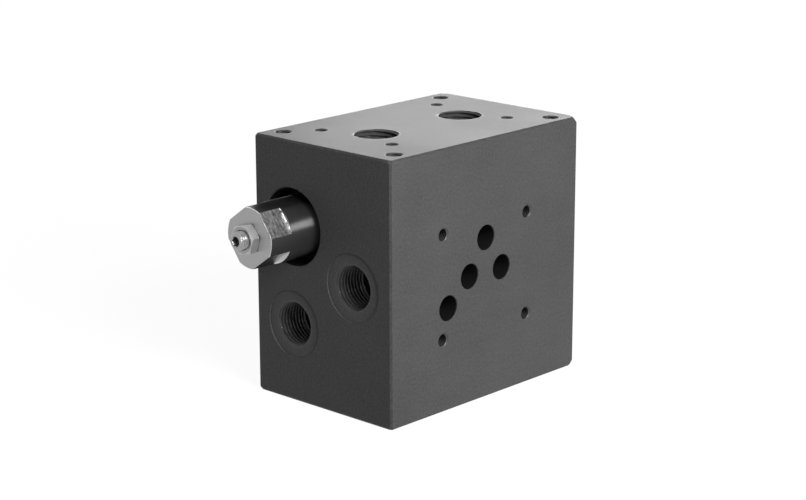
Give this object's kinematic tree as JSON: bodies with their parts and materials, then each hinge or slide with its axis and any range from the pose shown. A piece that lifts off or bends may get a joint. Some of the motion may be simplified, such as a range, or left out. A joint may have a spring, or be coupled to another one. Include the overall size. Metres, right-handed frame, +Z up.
{
  "type": "valve subplate",
  "caption": "Drilled steel subplate that carries a directional valve, with threaded line ports on two faces and an adjustable screw-in relief cartridge.",
  "frame": {"origin": "centre of the base face", "axes": "+Z up towards the face with the two line ports and the two rectangles of screw holes, -Y towards the valve's mounting face, -X towards the face with the relief cartridge"},
  "size_m": [0.152, 0.08, 0.115],
  "materials": {
    "blackened_steel": "satin black conversion coat on machined steel",
    "burnished_steel": "glossy black burnished steel with bright milled flats",
    "hardened_steel": "ground steel",
    "spring_steel": "oiled spring wire",
    "bright_steel": "bright turned steel",
    "zinc_plated_steel": "bright zinc plate",
    "seal_rubber": "smooth moulded nitrile rubber",
    "backup_plastic": "cut white plastic ring"
  },
  "bodies": {
    "root": {"subplate_block": "blackened_steel", "relief_body": "burnished_steel", "valve_seat": "hardened_steel", "seat_retaining_ring": "spring_steel", "shoulder_seal_ring": "seal_rubber", "nose_seal_ring": "seal_rubber", "nose_backup_ring": "backup_plastic", "seat_seal_ring": "seal_rubber", "side_drilling_plug": "zinc_plated_steel", "side_plug_seal_ring": "seal_rubber", "base_drilling_plug": "zinc_plated_steel", "base_plug_seal_ring": "seal_rubber"},
    "piston": {"spring_piston": "hardened_steel", "piston_seal_ring": "seal_rubber", "piston_backup_ring": "backup_plastic", "pressure_spring": "spring_steel"},
    "screw": {"adjusting_screw": "bright_steel"},
    "nut": {"lock_nut": "bright_steel"},
    "poppet": {"relief_poppet": "hardened_steel"}
  },
  "joints": [
    {"name": "piston_travel", "type": "slide", "parent": "root", "child": "piston", "axis": [1, 0, 0], "range_m": [-0.005, 0.00375], "deforming": ["pressure_spring"]},
    {"name": "screw_turn", "type": "hinge", "parent": "piston", "child": "screw", "pos_m": [-0.09, 0.018, 0.0773], "axis": [1, 0, 0], "range_deg": [-1441, 1081]},
    {"name": "nut_turn", "type": "hinge", "parent": "root", "child": "nut", "pos_m": [-0.0866, 0.018, 0.0773], "axis": [1, 0, 0], "range_deg": [-360, 0]},
    {"name": "poppet_lift", "type": "slide", "parent": "root", "child": "poppet", "axis": [-1, 0, 0], "range_m": [0, 0.002], "stiffness_N_per_m": 1000, "springref_m": -0.0004, "deforming": ["pressure_spring"]}
  ],
  "couplings": [
    {"joint": "screw_turn", "follows": "piston_travel", "rad_per_m": 5026.5}
  ]
}
